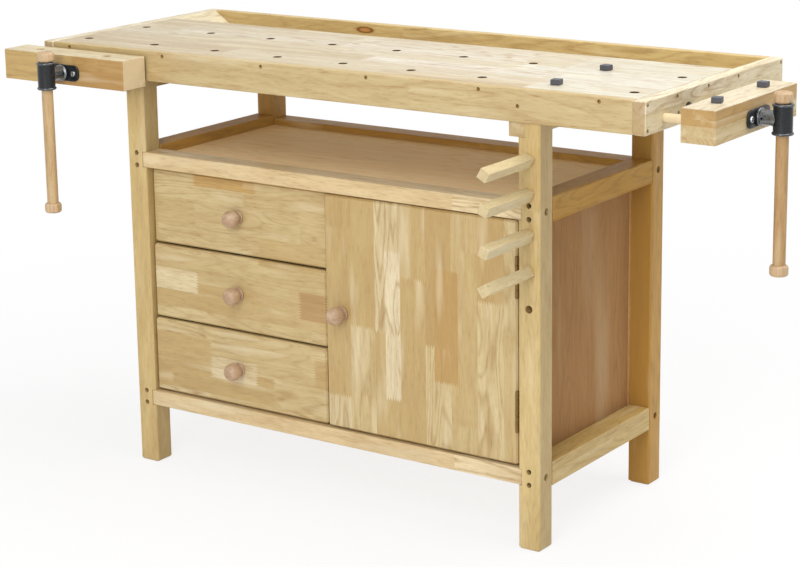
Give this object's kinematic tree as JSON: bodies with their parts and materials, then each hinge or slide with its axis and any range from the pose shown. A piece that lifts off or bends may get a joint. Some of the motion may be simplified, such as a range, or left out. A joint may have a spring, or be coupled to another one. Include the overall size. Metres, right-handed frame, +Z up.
{
  "type": "woodworking bench with vises",
  "caption": "Joiner's bench in pale wood with a dog-hole top, tool tray, face vise, tail vise, drawers, cupboard, open shelf and support pegs on a leg.",
  "frame": {"origin": "on the floor below the middle of the whole bench's box, vises and pegs included", "axes": "+X to the right along the bench towards the tail vise, +Y from the front to the tool tray, +Z up"},
  "size_m": [1.6184, 0.6828, 0.8658],
  "materials": {
    "rubberwood": "satin",
    "plywood": "matte",
    "turned_wood": "satin",
    "cast_iron": "satin",
    "hinge_steel": "satin",
    "dog_plastic": "matte"
  },
  "bodies": {
    "bench": {"worktop": "rubberwood", "front_apron": "rubberwood", "left_end_board": "rubberwood", "right_end_board": "rubberwood", "tray_back": "rubberwood", "tray_front": "rubberwood", "left_bearer": "rubberwood", "right_bearer": "rubberwood", "front_left_leg": "rubberwood", "front_right_leg": "rubberwood", "back_left_leg": "rubberwood", "back_right_leg": "rubberwood", "upper_front_rail": "rubberwood", "lower_front_rail": "rubberwood", "upper_back_rail": "rubberwood", "lower_back_rail": "rubberwood", "upper_left_rail": "rubberwood", "upper_right_rail": "rubberwood", "lower_left_rail": "rubberwood", "lower_right_rail": "rubberwood", "tray_bottom": "plywood", "shelf_panel": "plywood", "bottom_panel": "plywood", "left_side_panel": "plywood", "right_side_panel": "plywood", "divider_panel": "plywood", "back_panel": "plywood", "upper_hinge_frame_leaf": "hinge_steel", "lower_hinge_frame_leaf": "hinge_steel", "left_vise_nut": "cast_iron", "right_vise_nut": "cast_iron"},
    "top_drawer": {"top_drawer_front": "rubberwood", "top_drawer_box": "plywood", "top_drawer_knob": "turned_wood"},
    "middle_drawer": {"middle_drawer_front": "rubberwood", "middle_drawer_box": "plywood", "middle_drawer_knob": "turned_wood"},
    "bottom_drawer": {"bottom_drawer_front": "rubberwood", "bottom_drawer_box": "plywood", "bottom_drawer_knob": "turned_wood"},
    "door": {"door_panel": "rubberwood", "door_knob": "turned_wood", "upper_hinge_door_leaf": "hinge_steel", "lower_hinge_door_leaf": "hinge_steel"},
    "left_jaw": {"left_vise_jaw": "rubberwood", "left_vise_flange": "cast_iron"},
    "left_screw": {"left_vise_screw": "cast_iron"},
    "left_handle": {"left_vise_handle": "turned_wood"},
    "right_jaw": {"right_vise_jaw": "rubberwood", "right_vise_flange": "cast_iron"},
    "right_screw": {"right_vise_screw": "cast_iron"},
    "right_handle": {"right_vise_handle": "turned_wood"},
    "front_bench_dog": {"front_bench_dog": "dog_plastic"},
    "back_bench_dog": {"back_bench_dog": "dog_plastic"},
    "front_jaw_dog": {"front_jaw_dog": "dog_plastic"},
    "back_jaw_dog": {"back_jaw_dog": "dog_plastic"},
    "top_peg": {"top_peg": "rubberwood"},
    "upper_peg": {"upper_peg": "rubberwood"},
    "lower_peg": {"lower_peg": "rubberwood"},
    "bottom_peg": {"bottom_peg": "rubberwood"}
  },
  "joints": [
    {"name": "top_drawer_slide", "type": "slide", "parent": "bench", "child": "top_drawer", "axis": [0, -1, 0], "range_m": [0, 0.28]},
    {"name": "middle_drawer_slide", "type": "slide", "parent": "bench", "child": "middle_drawer", "axis": [0, -1, 0], "range_m": [-0.005, 0.275]},
    {"name": "bottom_drawer_slide", "type": "slide", "parent": "bench", "child": "bottom_drawer", "axis": [0, -1, 0], "range_m": [-0.009, 0.271]},
    {"name": "door_hinge", "type": "hinge", "parent": "bench", "child": "door", "pos_m": [0.35263, -0.18943, 0.38685], "axis": [0, 0, 1], "range_deg": [0, 90]},
    {"name": "left_jaw_slide", "type": "slide", "parent": "bench", "child": "left_jaw", "axis": [0, -1, 0], "range_m": [-0.006, 0.114]},
    {"name": "left_screw_turn", "type": "hinge", "parent": "left_jaw", "child": "left_screw", "pos_m": [-0.65133, -0.31493, 0.81085], "axis": [0, -1, 0], "range_deg": [-365, 6845]},
    {"name": "left_handle_slide", "type": "slide", "parent": "left_screw", "child": "left_handle", "axis": [0, 0, 1], "range_m": [0, 0.227]},
    {"name": "right_jaw_slide", "type": "slide", "parent": "bench", "child": "right_jaw", "axis": [1, 0, 0], "range_m": [-0.066, 0.054]},
    {"name": "right_screw_turn", "type": "hinge", "parent": "right_jaw", "child": "right_screw", "pos_m": [0.79017, -0.04043, 0.81785], "axis": [1, 0, 0], "range_deg": [-3965, 3245]},
    {"name": "right_handle_slide", "type": "slide", "parent": "right_screw", "child": "right_handle", "axis": [0, 0, 1], "range_m": [0, 0.227]},
    {"name": "front_bench_dog_lift", "type": "slide", "parent": "bench", "child": "front_bench_dog", "axis": [0, 0, 1], "range_m": [0, 0.05]},
    {"name": "back_bench_dog_lift", "type": "slide", "parent": "bench", "child": "back_bench_dog", "axis": [0, 0, 1], "range_m": [0, 0.05]},
    {"name": "front_jaw_dog_lift", "type": "slide", "parent": "right_jaw", "child": "front_jaw_dog", "axis": [0, 0, 1], "range_m": [0, 0.05]},
    {"name": "back_jaw_dog_lift", "type": "slide", "parent": "right_jaw", "child": "back_jaw_dog", "axis": [0, 0, 1], "range_m": [0, 0.05]},
    {"name": "top_peg_pull", "type": "slide", "parent": "bench", "child": "top_peg", "axis": [0, -1, 0], "range_m": [0, 0.042]},
    {"name": "upper_peg_pull", "type": "slide", "parent": "bench", "child": "upper_peg", "axis": [0, -1, 0], "range_m": [0, 0.042]},
    {"name": "lower_peg_pull", "type": "slide", "parent": "bench", "child": "lower_peg", "axis": [0, -1, 0], "range_m": [0, 0.042]},
    {"name": "bottom_peg_pull", "type": "slide", "parent": "bench", "child": "bottom_peg", "axis": [0, -1, 0], "range_m": [0, 0.042]}
  ],
  "couplings": [
    {"joint": "left_screw_turn", "follows": "left_jaw_slide", "rad_per_m": 1047.2},
    {"joint": "right_screw_turn", "follows": "right_jaw_slide", "rad_per_m": 1047.2}
  ]
}
